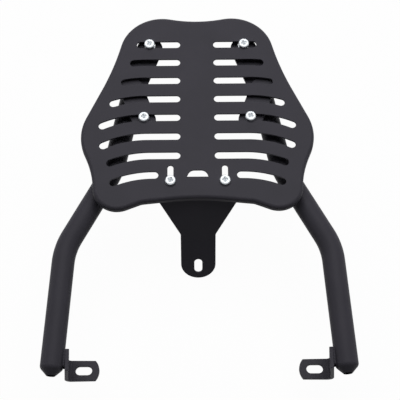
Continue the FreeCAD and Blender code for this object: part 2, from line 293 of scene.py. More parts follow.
# Zinc plating on screws, nuts and sleeves. To the eye it is a pale, slightly cool metal, bright but
# not a mirror, with long fine scratches from the tumbling drum, and duller in patches where the
# passivation took unevenly. That haze scatters some of the light, so it isn't all metal. The real
# scratches are under 0.1 mm wide, and they are drawn coarser so that they show.
ZINC_PLATE = Finish(
    name="bright_zinc_plating",
    shades=("#CFD2D5", "#B4B9BD"),
    patches=Grain(3.5, 3.0),
    haze=Grain(3.5, 3.0),
    roughness=(0.26, 0.38),
    relief=Grain(0.5, 2.0, squeeze=0.2, turn=math.radians(35)),
    relief_mm=0.01,
    relief_strength=0.4,
    metal_share=0.8,
)


class Outline:
    """A closed flat outline, run anticlockwise: points with their outward directions, in mm."""

    def __init__(self, points: list[Vector], outward: list[Vector]) -> None:
        """Keeps the points, in order, and the unit direction out of the outline at each."""
        self.points = points
        self.outward = outward

    def offset(self, distance: float) -> list[Vector]:
        """Gives the outline's points moved outwards by a distance, or inwards if it is negative."""
        return [point + way * distance for point, way in zip(self.points, self.outward)]

    def flipped(self) -> Outline:
        """Gives the outline as it is on the other side of the middle."""
        flip = Vector((-1.0, 1.0))
        return Outline([p * flip for p in self.points[::-1]], [n * flip for n in self.outward[::-1]])

    @classmethod
    def joined(cls, *parts: Outline) -> Outline:
        """Joins sampled stretches end to end."""
        points = [point for part in parts for point in part.points]
        return cls(points, [way for part in parts for way in part.outward])

    @classmethod
    def arc(
        cls, centre: Vector, radius: float, start: float, turn: float, hollow: bool = False
    ) -> Outline:
        """Samples an arc finely enough for its radius.

        Args:
            centre: Centre of the arc.
            radius: Its radius.
            start: Angle of its first point, in radians.
            turn: Signed angle that it runs through.
            hollow: True where the outline's inside lies on the outer side of the arc.

        Returns:
            The stretch of outline, both ends included.
        """
        # A chord over a small angle lies at most radius * angle ** 2 / 8 inside its arc
        steps = max(2, math.ceil(abs(turn) / math.sqrt(8 * ARC_ERROR / radius)))
        rays = [ray(angle) for angle in stepped(start, turn, steps)]
        return cls([centre + way * radius for way in rays], [-way if hollow else way for way in rays])

    @classmethod
    def rounded(cls, corners: Sequence[tuple[float, float, float]]) -> Outline:
        """Turns each corner of a polygon into a tangent arc, made smaller where it doesn't fit.

        Args:
            corners: X, Y and radius of each corner, anticlockwise.

        Returns:
            The outline.
        """
        points = [Vector(corner[:2]) for corner in corners]
        count = len(points)
        backs = [(points[i - 1] - points[i]).normalized() for i in range(count)]
        aheads = [(points[(i + 1) % count] - points[i]).normalized() for i in range(count)]
        halves = [back.angle(ahead) / 2 for back, ahead in zip(backs, aheads)]
        reach = [corner[2] / math.tan(half) for corner, half in zip(corners, halves)]
        fitted = list(reach)
        for i in range(count):
            j = (i + 1) % count
            share = (points[j] - points[i]).length / (reach[i] + reach[j])
            if share < 1:
                fitted[i] = min(fitted[i], reach[i] * share)
                fitted[j] = min(fitted[j], reach[j] * share)
        parts = []
        for point, back, ahead, half, length in zip(points, backs, aheads, halves, fitted):
            radius = length * math.tan(half)
            centre = point + (back + ahead).normalized() * (radius / math.sin(half))
            first = point + back * length - centre
            hollow = (-back).cross(ahead) < 0
            turn = (math.pi - 2 * half) * (-1 if hollow else 1)
            parts.append(cls.arc(centre, radius, math.atan2(first.y, first.x), turn, hollow))
        return cls.joined(*parts)

    @classmethod
    def circle(cls, centre: Vector, radius: float) -> Outline:
        """Samples a full circle."""
        whole = cls.arc(centre, radius, 0.0, math.tau)
        return cls(whole.points[:-1], whole.outward[:-1])

    @classmethod
    def oblong(cls, start: Vector, end: Vector, width: float) -> Outline:
        """Samples a slot with round ends.

        Args:
            start: Centre of its first round end.
            end: Centre of its other round end.
            width: Its full width.

        Returns:
            The outline.
        """
        way = math.atan2(end.y - start.y, end.x - start.x)
        last_end = cls.arc(end, width / 2, way - QUARTER, math.pi)
        return cls.joined(last_end, cls.arc(start, width / 2, way + QUARTER, math.pi))

    @classmethod
    def lengthwise(cls, middle: float, size: tuple[float, float]) -> Outline:
        """Samples a slot along Y.

        Args:
            middle: Y of its middle, which has X 0.
            size: Its full width and length.

        Returns:
            The outline.
        """
        width, length = size
        reach = (length - width) / 2
        return cls.oblong(Vector((0.0, middle - reach)), Vector((0.0, middle + reach)), width)


def soft_edge(thickness: float, radius: float, steps: int = 3) -> Edge:
    """Gives the section of a sheet's softened edge.

    Args:
        thickness: The sheet's thickness.
        radius: Radius of both softened corners.
        steps: Facets in each corner.

    Returns:
        Inset and depth from the top face to the lower one.
    """
    angles = stepped(0.0, QUARTER, steps)
    upper = [(radius * (1 - math.sin(a)), radius * (1 - math.cos(a))) for a in angles]
    return upper + [(inset, thickness - depth) for inset, depth in reversed(upper)]


class Skin:
    """A mesh made of rings of points, in mm, that share their vertices with the caps between them."""

    def __init__(self) -> None:
        """Starts an empty mesh."""
        self.mesh = bmesh.new()

    def ring(self, points: Sequence[Vector], z: float | Sequence[float]) -> Ring:
        """Adds a ring of vertices.

        Args:
            points: Points in the plane.
            z: One height for all, or one for each point.

        Returns:
            The vertices.
        """
        heights = z if isinstance(z, Sequence) else [z] * len(points)
        return [self.mesh.verts.new((p.x, p.y, h)) for p, h in zip(points, heights)]

    def wall(self, rings: Sequence[Ring], inwards: bool = False) -> None:
        """Skins between each ring and the next one down.

        Args:
            rings: The rings, from the top.
            inwards: True if the wall faces into the rings.
        """
        for upper, lower in zip(rings, rings[1:]):
            for i in range(len(upper)):
                j = (i + 1) % len(upper)
                quad = [upper[i], lower[i], lower[j], upper[j]]
                self.mesh.faces.new(reversed(quad) if inwards else quad)

    def cap(self, outer: Ring, holes: Sequence[Ring] = (), up: bool = True) -> None:
        """Closes a level ring with a flat face that leaves holes open.

        Args:
            outer: The ring around the face.
            holes: The rings around its holes.
            up: True if the face looks along +Z.
        """
        loops = [outer, *holes]
        verts = [vert for loop in loops for vert in loop]
        triangles = tessellate_polygon([[vert.co for vert in loop] for loop in loops])
        corners = [[verts[i] for i in triangle] for triangle in triangles]
        # Triangles between points in line have no area, so the turn is read from all of them together
        turn = sum((b.co - a.co).cross(c.co - a.co).z for a, b, c in corners)
        faces = [self.mesh.faces.new(abc if (turn > 0) is up else abc[::-1]) for abc in corners]
        own = set(faces)
        edges = dict.fromkeys(edge for face in faces for edge in face.edges)
        inner = [edge for edge in edges if all(face in own for face in edge.link_faces)]
        # Slivers would show as faint creases
        bmesh.ops.beautify_fill(self.mesh, faces=faces, edges=inner)

    def sheet(
        self, outline: Outline, holes: Sequence[Outline], edge: Edge, hole_edge: Edge, top: float = 0.0
    ) -> Skin:
        """Adds a sheet with holes.

        Args:
            outline: The sheet's outline.
            holes: Outlines of its holes.
            edge: Section of its outer edge, inset and depth from the top face down.
            hole_edge: Section of the edge of each hole.
            top: Height of the top face.

        Returns:
            This mesh.
        """
        rings = [self.ring(outline.offset(-inset), top - depth) for inset, depth in edge]
        self.wall(rings)
        stacks = []
        for hole in holes:
            stack = [self.ring(hole.offset(inset), top - depth) for inset, depth in hole_edge]
            self.wall(stack, inwards=True)
            stacks.append(stack)
        self.cap(rings[0], [stack[0] for stack in stacks])
        self.cap(rings[-1], [stack[-1] for stack in stacks], up=False)
        return self

    def moved(self, place: Callable[[Vector], Vector]) -> Skin:
        """Moves every vertex.

        Args:
            place: Gives a vertex its new place.

        Returns:
            This mesh.
        """
        for vert in self.mesh.verts:
            vert.co = place(vert.co)
        return self

    def on_deck(self) -> Skin:
        """Moves the mesh from the deck's own zero point to its place and gives it back."""
        return self.moved(lambda co: co + DECK)

    def mirrored(self, side: Side) -> Skin:
        """Turns a right-hand mesh into the one for a side.

        Args:
            side: The side.

        Returns:
            This mesh.
        """
        if side is Side.LEFT:
            bmesh.ops.scale(self.mesh, vec=(-1.0, 1.0, 1.0), verts=self.mesh.verts)
            bmesh.ops.reverse_faces(self.mesh, faces=self.mesh.faces)
        return self

    def data(self, name: str) -> Mesh:
        """Ends the mesh: merges doubled points, goes to metres and shades it smooth.

        Args:
            name: Name of the mesh.

        Returns:
            The finished mesh.
        """
        bmesh.ops.remove_doubles(self.mesh, verts=self.mesh.verts, dist=MERGE_DISTANCE)
        bmesh.ops.scale(self.mesh, vec=(MM, MM, MM), verts=self.mesh.verts)
        mesh = bpy.data.meshes.new(name)
        self.mesh.to_mesh(mesh)
        self.mesh.free()
        mesh.shade_smooth()
        return mesh

    def coated_piece(self, name: str, finishes: Finishes, node: str) -> None:
        """Ends the mesh as a coated piece that stands for a CAD node."""
        dressed(linked(name, self.data(name)), finishes, Slot.COATED, node)


def linked(name: str, data: ID) -> Object:
    """Makes an object of a mesh, lamp or camera and links it to the scene.

    Args:
        name: Name of the object.
        data: What it shows.

    Returns:
        The object.
    """
    piece = bpy.data.objects.new(name, data)
    bpy.context.scene.collection.objects.link(piece)
    return piece


def dressed(piece: Object, finishes: Finishes, slot: Slot, node: str = "") -> None:
    """Gives a piece its material and ties it to the frame.

    Args:
        piece: The finished piece, in place.
        finishes: The materials.
        slot: The slot whose material the piece gets.
        node: The CAD node that the piece replaces, or nothing for a piece that the CAD lacks.
    """
    piece.data.materials.clear()
    piece.data.materials.append(finishes[slot])
    if node:
        # Normals weighted by area keep flat faces flat, so that only the softened edges shade round.
        # The welds, which stand for no node, have no flat faces
        weighted = piece.modifiers.new("flat_faces", "WEIGHTED_NORMAL")
        weighted.mode = "FACE_AREA"
        weighted.weight = FLAT_WEIGHT
    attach(piece, "root")
    if node:
        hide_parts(node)
    LOG.info("%s: %d faces, stands for %s", piece.name, len(piece.data.polygons), node or "nothing")


class NodeTool:
    """A Geometry Nodes tree with named inputs that is run once and leaves a plain mesh."""

    def __init__(self, name: str) -> None:
        """Starts the tree.

        Args:
            name: Name of the tree.
        """
        self.tree = bpy.data.node_groups.new(name, "GeometryNodeTree")
        for way in ("INPUT", "OUTPUT"):
            self.tree.interface.new_socket("Geometry", in_out=way, socket_type="NodeSocketGeometry")
        self.start = add_node(self.tree, "NodeGroupInput")
        self.identifiers: dict[str, str] = {}

    def socket(self, name: str, kind: str) -> NodeSocket:
        """Adds a named input.

        Args:
            name: Name of the input.
            kind: Blender's name for the type of socket.

        Returns:
            The input's socket inside the tree.
        """
        item = self.tree.interface.new_socket(name, in_out="INPUT", socket_type=kind)
        self.identifiers[name] = item.identifier
        return self.start.outputs[name]

    def end(self, geometry: NodeSocket) -> NodeTool:
        """Ends the tree in Realize Instances and Set Material.

        Args:
            geometry: What the tree has made.

        Returns:
            This tool.
        """
        material = self.socket("Material", "NodeSocketMaterial")
        real = add_node(self.tree, "GeometryNodeRealizeInstances", {"Geometry": geometry})
        covered = {"Geometry": real.outputs["Geometry"], "Material": material}
        coat = add_node(self.tree, "GeometryNodeSetMaterial", covered)
        add_node(self.tree, "NodeGroupOutput", {"Geometry": coat.outputs["Geometry"]})
        return self

    def run(self, name: str, base: Mesh, values: dict[str, object]) -> Object:
        """Runs the tree on a mesh.

        Args:
            name: Name of the new piece.
            base: Points or path that the tree works on.
            values: Value of each named input.

        Returns:
            The piece, as a plain mesh with no modifier.
        """
        piece = linked(name, base)
        modifier = piece.modifiers.new(self.tree.name, "NODES")
        modifier.node_group = self.tree
        for key, value in values.items():
            modifier[self.identifiers[key]] = value
        depsgraph = bpy.context.evaluated_depsgraph_get()
        mesh = bpy.data.meshes.new_from_object(piece.evaluated_get(depsgraph), depsgraph=depsgraph)
        piece.modifiers.remove(modifier)
        piece.data = mesh
        mesh.name = name
        mesh.shade_smooth()
        return piece


def point_mesh(name: str, points: Sequence[Vector], joined: bool, **attributes: Sequence[float]) -> Mesh:
    """Makes a mesh of bare points, or of a path through them, for a Geometry Nodes tree.

    Args:
        name: Name of the mesh.
        points: Places in mm.
        joined: True to join each point to the next.
        attributes: Number for each point, by attribute name.

    Returns:
        The mesh, in metres.
    """
    mesh = bpy.data.meshes.new(name)
    edges = [(i, i + 1) for i in range(len(points) - 1)] if joined else []
    mesh.from_pydata([p * MM for p in points], edges, [])
    for key, values in attributes.items():
        layer = mesh.attributes.new(key, "FLOAT", "POINT")
        layer.data.foreach_set("value", list(values))
    return mesh


def fastener_placer() -> NodeTool:
    """Builds the tree that sets one fastener, turned by its own angle, on each point.

    Returns:
        The tool.
    """
    tool = NodeTool("fasteners_on_points")
    tree = tool.tree
    fastener = tool.socket("Fastener", "NodeSocketObject")
    shape = add_node(tree, "GeometryNodeObjectInfo", {"Object": fastener})
    turn = add_node(tree, "GeometryNodeInputNamedAttribute", {"Name": "turn"}, data_type="FLOAT")
    spin = add_node(tree, "ShaderNodeCombineXYZ", {"Z": turn.outputs["Attribute"]})
    placed = add_node(
        tree,
        "GeometryNodeInstanceOnPoints",
        {
            "Points": tool.start.outputs["Geometry"],
            "Instance": shape.outputs["Geometry"],
            "Rotation": spin.outputs["Vector"],
        },
    )
    return tool.end(placed.outputs["Instances"])


def tube_sweeper() -> NodeTool:
    """Builds the tree that sweeps a circle along a path, as wide as each of its points says.

    Returns:
        The tool.
    """
    tool = NodeTool("tube_along_path")
    tree = tool.tree
    facets = tool.socket("Facets", "NodeSocketInt")
    path = add_node(tree, "GeometryNodeMeshToCurve", {"Mesh": tool.start.outputs["Geometry"]})
    section = add_node(tree, "GeometryNodeCurvePrimitiveCircle", {"Resolution": facets, "Radius": 1.0})
    width = add_node(tree, "GeometryNodeInputNamedAttribute", {"Name": "ring_radius"}, data_type="FLOAT")
    tube = add_node(
        tree,
        "GeometryNodeCurveToMesh",
        {
            "Curve": path.outputs["Curve"],
            "Profile Curve": section.outputs["Curve"],
            "Scale": width.outputs["Attribute"],
        },
    )
    return tool.end(tube.outputs["Mesh"])


def weld_layer() -> NodeTool:
    """Builds the tree that lays overlapping weld ripples along a path.

    Returns:
        The tool.
    """
    tool = NodeTool("weld_along_path")
    tree = tool.tree
    pitch = tool.socket("Pitch", "NodeSocketFloat")
    width = tool.socket("Half width", "NodeSocketFloat")
    least = tool.socket("Least size", "NodeSocketVector")
    most = tool.socket("Most size", "NodeSocketVector")
    subdivisions = tool.socket("Subdivisions", "NodeSocketInt")
    seed = tool.socket("Seed", "NodeSocketInt")
    path = add_node(tree, "GeometryNodeMeshToCurve", {"Mesh": tool.start.outputs["Geometry"]})
    along = {"Curve": path.outputs["Curve"], "Length": pitch}
    steps = add_node(tree, "GeometryNodeCurveToPoints", along, mode="LENGTH")
    ball = {"Radius": width, "Subdivisions": subdivisions}
    ripple = add_node(tree, "GeometryNodeMeshIcoSphere", ball)
    smooth = add_node(tree, "GeometryNodeSetShadeSmooth", {"Geometry": ripple.outputs["Mesh"]})
    spread = {"Min": least, "Max": most, "Seed": seed}
    size = add_node(tree, "FunctionNodeRandomValue", spread, data_type="FLOAT_VECTOR")
    laid = add_node(
        tree,
        "GeometryNodeInstanceOnPoints",
        {
            "Points": steps.outputs["Points"],
            "Instance": smooth.outputs["Geometry"],
            "Rotation": steps.outputs["Rotation"],
            "Scale": size.outputs[0],
        },
    )
    return tool.end(laid.outputs["Instances"])


@dataclass
class TopPlate:
    """The pressed and slotted luggage plate with its turned-down rim."""

    rim_depth: float = 8.0
    rim_bend: float = 4.0
    rim_facets: int = 8
    edge_radius: float = 0.35
    # X, Y and radius of the outline's corners on the right, from the rear middle to the front middle
    rear_middle: tuple[float, float, float] = (0.0, -101.5, 300.0)
    rear_notch: tuple[float, float, float] = (61.5, -108.0, 15.0)
    rear_corner: tuple[float, float, float] = (113.0, -128.5, 27.0)
    waist: tuple[float, float, float] = (116.5, -69.0, 112.0)
    hip: tuple[float, float, float] = (135.5, -24.0, 57.0)
    shoulder: tuple[float, float, float] = (95.5, 63.0, 345.0)
    front_corner: tuple[float, float, float] = (76.0, 139.5, 48.5)
    front_middle: tuple[float, float, float] = (0.0, 125.0, 150.0)
    rows: int = 8
    first_row: float = 94.0
    row_pitch: float = 24.2
    slot_width: float = 8.5
    slot_inner: float = 19.0
    slot_margin: float = 18.5
    slot_arc: float = 110.0
    slot_arc_from: float = 60.0
    # In the rows after the plain ones the arc starts nearer the middle, by one more shift in each
    arc_shift: float = 3.5
    plain_rows: int = 5
    rear_slot_x: float = 30.0
    rear_slot_width: float = 6.5
    rear_slot_ends: tuple[float, float] = (-83.0, -66.75)
    rear_slot_rib: float = 10.0
    # Half width, Y and corner radius of the half-moon slot, at its rear and its front
    moon_rear: tuple[float, float, float] = (12.8, -79.2, 1.2)
    moon_front: tuple[float, float, float] = (8.5, -69.5, 7.5)
    outline: Outline = field(init=False)

    def __post_init__(self) -> None:
        """Samples the outline, with its left half mirrored."""
        side = [self.rear_notch, self.rear_corner, self.waist, self.hip, self.shoulder, self.front_corner]
        left = [(-x, y, r) for x, y, r in reversed(side)]
        self.outline = Outline.rounded([self.rear_middle, *side, self.front_middle, *left])

    def half_width(self, y: float) -> float:
        """Gives how far the outline reaches from the middle.

        Args:
            y: Where it is measured.

        Returns:
            The distance from the middle to the outline.
        """
        points = self.outline.points
        crossings = [
            a.x + (b.x - a.x) * (y - a.y) / (b.y - a.y)
            for a, b in zip(points, points[1:] + points[:1])
            if (a.y - y) * (b.y - y) < 0
        ]
        return min(x for x in crossings if x > 0)

    def row_slot(self, row: int) -> Outline:
        """Outlines the right-hand slot of a row: straight, then drooping along an arc.

        Args:
            row: Row number, from 0 at the front.

        Returns:
            The slot's outline.
        """
        y = self.first_row - row * self.row_pitch
        half = self.slot_width / 2
        arc_from = self.slot_arc_from - self.arc_shift * max(0, row + 1 - self.plain_rows)
        inner = self.slot_inner
        if row == self.rows - 1:
            inner = self.rear_slot_x + self.rear_slot_width / 2 + self.rear_slot_rib
        level_end = self.half_width(y) - self.slot_margin
        drop = self.slot_arc - math.sqrt(self.slot_arc**2 - max(0.0, level_end - arc_from) ** 2)
        end = self.half_width(y - drop) - self.slot_margin - half
        turn = math.asin((end - arc_from) / self.slot_arc)
        hub = Vector((arc_from, y - self.slot_arc))
        tip = hub + ray(QUARTER - turn) * self.slot_arc
        return Outline.joined(
            Outline.arc(hub, self.slot_arc - half, QUARTER, -turn, hollow=True),
            Outline.arc(tip, half, -QUARTER - turn, math.pi),
            Outline.arc(hub, self.slot_arc + half, QUARTER - turn, turn),
            Outline.arc(Vector((inner + half, y)), half, QUARTER, math.pi),
        )

    def holes(self) -> list[Outline]:
        """Outlines every slot in the plate.

        Returns:
            The slots on the right, those on the left, and the half-moon slot.
        """
        right = [self.row_slot(row) for row in range(self.rows)]
        rear, front = (Vector((self.rear_slot_x, y)) for y in self.rear_slot_ends)
        right.append(Outline.oblong(rear, front, self.rear_slot_width))
        (wide, low, low_r), (narrow, high, high_r) = self.moon_rear, self.moon_front
        moon = [(-wide, low, low_r), (wide, low, low_r), (narrow, high, high_r), (-narrow, high, high_r)]
        return [*right, *(slot.flipped() for slot in right), Outline.rounded(moon)]

    def rim_edge(self) -> Edge:
        """Gives the rolled rim's section.

        Returns:
            Inset and depth from the top face, round the rim, to the inner face.
        """
        angles = stepped(0.0, QUARTER, self.rim_facets)
        bend, inner = self.rim_bend, self.rim_bend - DECK_SHEET
        outside = [(bend * (1 - math.sin(a)), bend * (1 - math.cos(a))) for a in angles]
        lip = soft_edge(DECK_SHEET, self.edge_radius)
        foot = [(depth, self.rim_depth - inset) for inset, depth in lip]
        inside = [(bend - inner * math.sin(a), bend - inner * math.cos(a)) for a in reversed(angles)]
        return outside + foot + inside

    def build(self, finishes: Finishes) -> None:
        """Makes the plate and dresses it.

        Args:
            finishes: The materials.
        """
        slot_edge = soft_edge(DECK_SHEET, self.edge_radius)
        skin = Skin().sheet(self.outline, self.holes(), self.rim_edge(), slot_edge)
        skin.on_deck().coated_piece("luggage_plate", finishes, "top_plate")


@dataclass
class Strips:
    """The flat strips that join each tube to the plate's screws."""

    thickness: float = 3.0
    gap: float = 3.0
    edge_radius: float = 0.5
    front_width: float = 30.0
    middle_width: float = 27.0
    front_hole: tuple[float, float] = (9.0, 20.0)
    middle_hole: float = 6.6

    def build(self, finishes: Finishes) -> None:
        """Makes both strips of each side, the middle one lying on the front one, and dresses them.

        Args:
            finishes: The materials.
        """
        lap, front, middle = (Vector(place) for place in (STRIP_LAP, FRONT_SCREW, MIDDLE_SCREW))
        hole_width, hole_length = self.front_hole
        way = (front - lap).normalized() * (hole_length - hole_width) / 2
        long_hole = Outline.oblong(front - way, front + way, hole_width)
        round_hole = Outline.circle(middle, self.middle_hole / 2)
        edge = soft_edge(self.thickness, self.edge_radius)
        front_shape = Outline.oblong(lap, front, self.front_width)
        middle_shape = Outline.oblong(lap, middle, self.middle_width)
        upper = -DECK_SHEET - self.gap
        strips = (
            ("front_strip", front_shape, long_hole, upper - self.thickness),
            ("middle_strip", middle_shape, round_hole, upper),
        )
        for side in Side:
            for name, shape, hole, top in strips:
                skin = Skin().sheet(shape, [hole], edge, edge, top).on_deck().mirrored(side)
                skin.coated_piece(f"{side.label}_{name}_steel", finishes, f"{side.label}_{name}")


@dataclass
class BentTubes:
    """The two bent tubes, open at the front and tapered to a nose at the foot."""

    radius: float = 12.5
    wall: float = 2.0
    nose_hole: float = 9.4
    nose_shoulder: float = 6.0
    nose_slope: float = math.radians(45)
    # The right tube's axis: its run in front of the strips' lap, its bends and its nose's tip
    front_run: float = 14.0
    front_z: float = 56.5
    outer_bend: tuple[float, float] = (94.5, 216.5)
    outer_bend_r: float = 80.0
    knee: tuple[float, float, float] = (146.5, 125.0, 46.0)
    knee_r: float = 70.0
    end: tuple[float, float, float] = (157.0, -15.5, 34.0)
    facets: int = 64
    bend_step: float = math.radians(2.5)
    nose_steps: int = 8
    # Softening of the cut ends, on edges sharper than the angle
    end_bevel: float = 0.4
    bevel_angle: float = math.radians(50)
    bevel_segments: int = 2

    def corners(self) -> list[Vector]:
        """Gives the right tube's axis as straight lines.

        Returns:
            Its front end, its two bends' corners and its nose's tip.
        """
        bend = Vector((*self.outer_bend, self.front_z))
        over = Vector((STRIP_LAP[0], DECK.y + STRIP_LAP[1], self.front_z))
        front = over + (over - bend).normalized() * self.front_run
        return [front, bend, Vector(self.knee), Vector(self.end)]

    def taper(self, depth: float) -> Edge:
        """Gives the nose's skin: a round shoulder, then a cone.

        Args:
            depth: How far the skin lies inside the tube's outer face.

        Returns:
            Run along the tube and radius, from the shoulder's start to the hole.
        """
        shoulder, hub = self.nose_shoulder - depth, self.radius - self.nose_shoulder
        angles = stepped(0.0, self.nose_slope, self.nose_steps)
        points = [(shoulder * math.sin(a), hub + shoulder * math.cos(a)) for a in angles]
        run, wide = points[-1]
        hole = self.nose_hole / 2
        return [*points, (run + (wide - hole) / math.tan(self.nose_slope), hole)]

    def axis(self, depth: float) -> tuple[list[Vector], list[float]]:
        """Gives the points of the right tube's axis, with the radius of its skin at each.

        Args:
            depth: How far the skin lies inside the tube's outer face.

        Returns:
            The points and the radii.
        """
        front, bend, knee, tip = self.corners()
        way = (tip - knee).normalized()
        nose = tip - way * self.taper(0.0)[-1][0]
        points = [front]
        bends = ((front, bend, knee, self.outer_bend_r), (bend, knee, nose, self.knee_r))
        for back, corner, ahead, radius in bends:
            to_back, to_ahead = (back - corner).normalized(), (ahead - corner).normalized()
            half = to_back.angle(to_ahead) / 2
            centre = corner + (to_back + to_ahead).normalized() * (radius / math.sin(half))
            first = corner + to_back * (radius / math.tan(half)) - centre
            axle = first.cross(corner - centre).normalized()
            sweep = math.pi - 2 * half
            angles = stepped(0.0, sweep, math.ceil(sweep / self.bend_step))
            points += [centre + Matrix.Rotation(angle, 3, axle) @ first for angle in angles]
        taper = self.taper(depth)
        widths = [self.radius - depth] * len(points) + [width for _, width in taper]
        return points + [nose + way * run for run, _ in taper], widths

    def build(self, finishes: Finishes) -> None:
        """Sweeps the inner and the outer skin of both tubes, joins and dresses them.

        Args:
            finishes: The materials.
        """
        sweeper = tube_sweeper()
        values = {"Facets": self.facets, "Material": finishes[Slot.COATED]}
        for side in Side:
            name = f"{side.label}_bent_tube"
            skins = []
            for depth in (self.wall, 0.0):
                points, widths = self.axis(depth)
                path = [side.place(point) for point in points]
                radii = [width * MM for width in widths]
                base = point_mesh(f"{side.label}_axis", path, joined=True, ring_radius=radii)
                skins.append(sweeper.run(name, base, values))
            bore, piece = skins
            self.join_ends(piece.data, bore.data)
            bpy.data.objects.remove(bore)
            piece.name = name
            rim = piece.modifiers.new("cut_ends", "BEVEL")
            rim.width = self.end_bevel * MM
            rim.segments = self.bevel_segments
            rim.limit_method = "ANGLE"
            rim.angle_limit = self.bevel_angle
            dressed(piece, finishes, Slot.COATED, f"{side.label}_tube")

    @staticmethod
    def join_ends(outer: Mesh, bore: Mesh) -> None:
        """Adds the bore's skin to the outer one and closes the wall between them at both ends.

        Args:
            outer: The outer skin, which becomes the whole tube.
            bore: The inner skin.
        """
        tube = bmesh.new()
        tube.from_mesh(outer)
        tube.from_mesh(bore)
        rims = [edge for edge in tube.edges if edge.is_boundary]
        middle = sum(edge.verts[0].co.y for edge in rims) / len(rims)
        for at_front in (True, False):
            end = [edge for edge in rims if (edge.verts[0].co.y > middle) is at_front]
            bmesh.ops.bridge_loops(tube, edges=end)
        bmesh.ops.recalc_face_normals(tube, faces=tube.faces)
        tube.to_mesh(outer)
        tube.free()
        outer.shade_smooth()


@dataclass
class FoldLine:
    """The outer face of a folded sheet in side view: straight legs joined by arcs, in mm."""

    corners: list[Vector]
    thickness: float
    bend: float
    facets: int = 8
    # Each leg and each bend with the length at which it starts
    stretches: list[tuple[float, Run]] = field(init=False, default_factory=list)
    # Each bend's first and last length, with the run from its ends to its corner
    arcs: list[tuple[float, float, float]] = field(init=False, default_factory=list)
    length: float = field(init=False, default=0.0)

    def __post_init__(self) -> None:
        """Works out the legs, the bends and the whole length."""
        start = self.corners[0]
        for back, corner, ahead in zip(self.corners, self.corners[1:], self.corners[2:]):
            before, after = (corner - back).normalized(), (ahead - corner).normalized()
            turn = math.atan2(before.cross(after), before.dot(after))
            radius = self.bend + self.thickness if turn > 0 else self.bend
            tangent = radius * math.tan(abs(turn) / 2)
            first = corner - before * tangent
            self.add_leg(start, first)
            left = Vector((-before.y, before.x)) * math.copysign(radius, turn)
            self.stretches.append((self.length, self.curve(first + left, -left, turn)))
            bend_start = self.length
            self.length += abs(turn) * radius
            self.arcs.append((bend_start, self.length, tangent))
            start = corner + after * tangent
        self.add_leg(start, self.corners[-1])

    def add_leg(self, start: Vector, end: Vector) -> None:
        """Adds a straight leg.

        Args:
            start: Where it starts.
            end: Where it ends.
        """
        way = (end - start).normalized()
        self.stretches.append((self.length, lambda run: (start + way * run, way)))
        self.length += (end - start).length

    @staticmethod
    def curve(centre: Vector, first: Vector, turn: float) -> Run:
        """Gives the run along a bend.

        Args:
            centre: Centre of the bend.
            first: From the centre to the bend's start.
            turn: Its angle, whose sign says which way it turns.

        Returns:
            The run.
        """

        def at(run: float) -> tuple[Vector, Vector]:
            """Follows the bend.

            Args:
                run: Length along it.

            Returns:
                The place there and the way on from it.
            """
            spoke = Matrix.Rotation(math.copysign(run / first.length, turn), 2) @ first
            way = Vector((-spoke.y, spoke.x)).normalized() * math.copysign(1.0, turn)
            return centre + spoke, way

        return at

    def after(self, corner: int, distance: float) -> float:
        """Gives the length along the sheet of a place on the leg after a corner."""
        _, bend_end, tangent = self.arcs[corner]
        return bend_end + distance - tangent

    def fold(self, skin: Skin, across: Vector, along: Vector, up: Vector) -> Skin:
        """Bends a flat sheet, drawn with X across it, Y along it and Z out of its outer face.

        Args:
            skin: The flat sheet.
            across: Direction in the part's frame of the sheet's X.
            along: Direction of the side view's first axis.
            up: Direction of the side view's second axis.

        Returns:
            The folded sheet.
        """
        for bend_start, bend_end, _ in self.arcs:
            for cut in stepped(bend_start, bend_end - bend_start, self.facets):
                bmesh.ops.bisect_plane(
                    skin.mesh,
                    geom=[*skin.mesh.verts, *skin.mesh.edges, *skin.mesh.faces],
                    plane_co=(0.0, cut, 0.0),
                    plane_no=(0.0, 1.0, 0.0),
                    dist=MERGE_DISTANCE / 10,
                )

        def place(co: Vector) -> Vector:
            """Gives a point of the flat sheet its place on the folded one.

            Args:
                co: The point.

            Returns:
                Its place in the part's frame.
            """
            start, run = next((s, r) for s, r in reversed(self.stretches) if co.y >= s or s == 0.0)
            point, way = run(co.y - start)
            point = point - Vector((-way.y, way.x)) * co.z
            return across * co.x + along * point.x + up * point.y

        return skin.moved(place)


